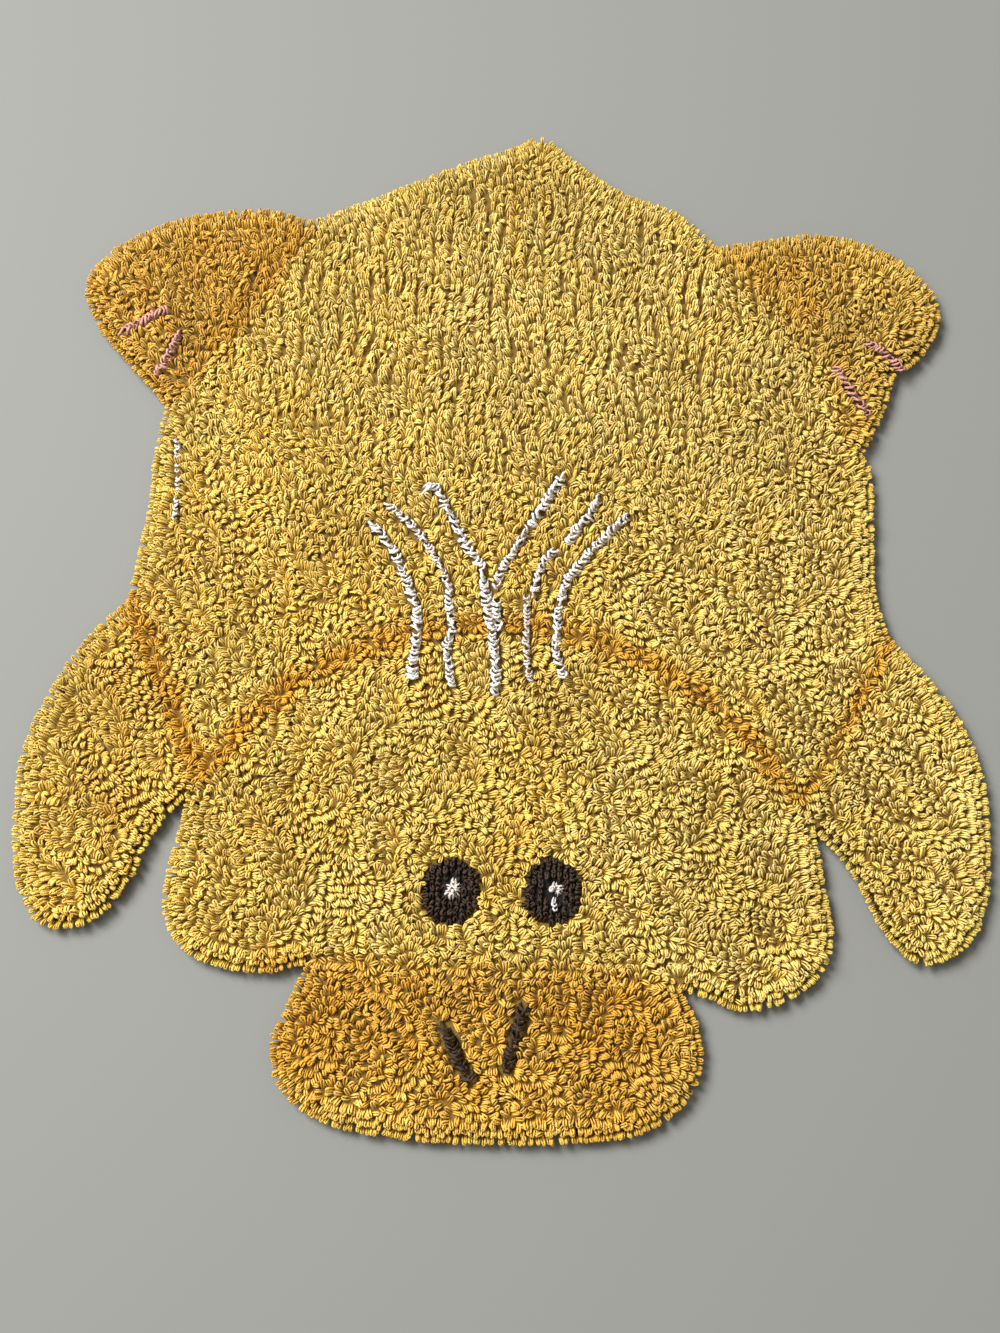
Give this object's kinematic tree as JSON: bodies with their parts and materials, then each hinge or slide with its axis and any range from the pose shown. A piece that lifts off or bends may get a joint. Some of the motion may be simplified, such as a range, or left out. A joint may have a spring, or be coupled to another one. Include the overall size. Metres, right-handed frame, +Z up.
{
  "type": "animal-shaped tufted bath rug",
  "caption": "Flat looped cotton bath rug cut to the outline of a duckling seen from above, with a lumpy pile and short locks round its rim.",
  "frame": {"origin": "on the floor under the middle of the rug", "axes": "+X across the wings, +Y from the bill to the tail, +Z up out of the pile"},
  "size_m": [0.7021, 0.7779, 0.0149],
  "materials": {
    "yellow_pile": "looped cotton yarn, warm pale yellow, matt",
    "golden_pile": "looped cotton yarn, golden orange, matt",
    "white_yarn": "looped cotton yarn, off-white, matt",
    "brown_yarn": "looped cotton yarn, dark brown, matt",
    "pink_yarn": "looped cotton yarn, dusty pink, matt",
    "backing_cloth": "plain woven cotton backing, matt"
  },
  "bodies": {
    "root": {"tufted_rug": "yellow_pile"}
  },
  "joints": []
}
